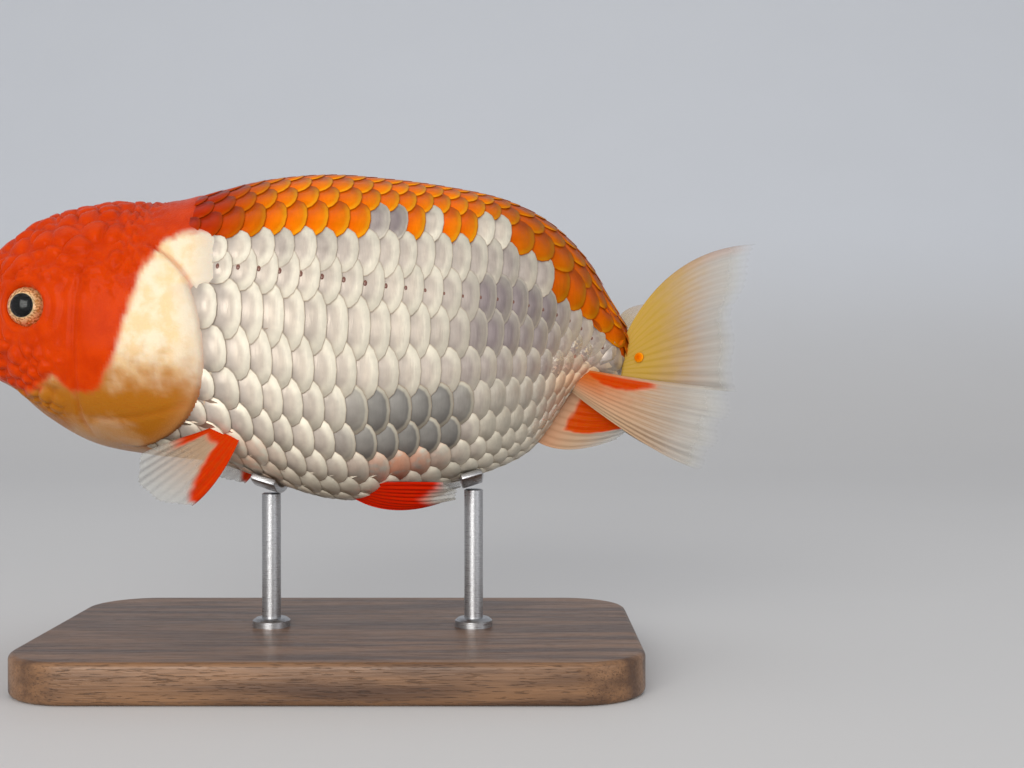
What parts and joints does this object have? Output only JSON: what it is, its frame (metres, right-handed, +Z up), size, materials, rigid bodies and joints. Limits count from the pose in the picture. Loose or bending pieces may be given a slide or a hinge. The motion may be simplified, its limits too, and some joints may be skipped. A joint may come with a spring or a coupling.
{
  "type": "goldfish",
  "caption": "Still, life-size ranchu goldfish with no dorsal fin and a double tail, held level over a flat wooden base by rods with belly saddles.",
  "frame": {"origin": "middle of the whole model's box in X and Y, on the flat underside of the stand's base", "axes": "+X from the snout towards the tail, -Y out of the fish's left flank, +Z up"},
  "size_m": [0.1394, 0.066, 0.089],
  "materials": {
    "pearl_scales": "pearly white, overlapping scales with bright rims",
    "orange_scales": "orange-red scales with yellow rims",
    "head_skin": "moist smooth skin, cream with orange-red hood",
    "fin_membrane": "thin clear membrane with raised rays, stained orange in places",
    "eye": "black pupil in a golden ring under a clear cornea",
    "stand_wood": "satin walnut",
    "stand_steel": "brushed along the rods"
  },
  "bodies": {
    "root": {"head": "head_skin", "hood": "head_skin", "lower_jaw": "head_skin", "cheek_left": "head_skin", "cheek_right": "head_skin", "gill_cover_left": "head_skin", "gill_cover_right": "head_skin", "eye_left": "eye", "eye_right": "eye", "shoulder": "pearl_scales", "trunk_front": "pearl_scales", "trunk_rear": "pearl_scales", "tail_stalk": "orange_scales", "pectoral_fin_left": "fin_membrane", "pectoral_fin_right": "fin_membrane", "pelvic_fin_left": "fin_membrane", "pelvic_fin_right": "fin_membrane", "anal_fin_left": "fin_membrane", "anal_fin_right": "fin_membrane", "tail_upper_lobe_left": "fin_membrane", "tail_upper_lobe_right": "fin_membrane", "tail_lower_lobe_left": "fin_membrane", "tail_lower_lobe_right": "fin_membrane", "stand_base": "stand_wood", "stand_rod_front": "stand_steel", "stand_rod_rear": "stand_steel", "stand_saddle_front": "stand_steel", "stand_saddle_rear": "stand_steel"}
  },
  "joints": []
}
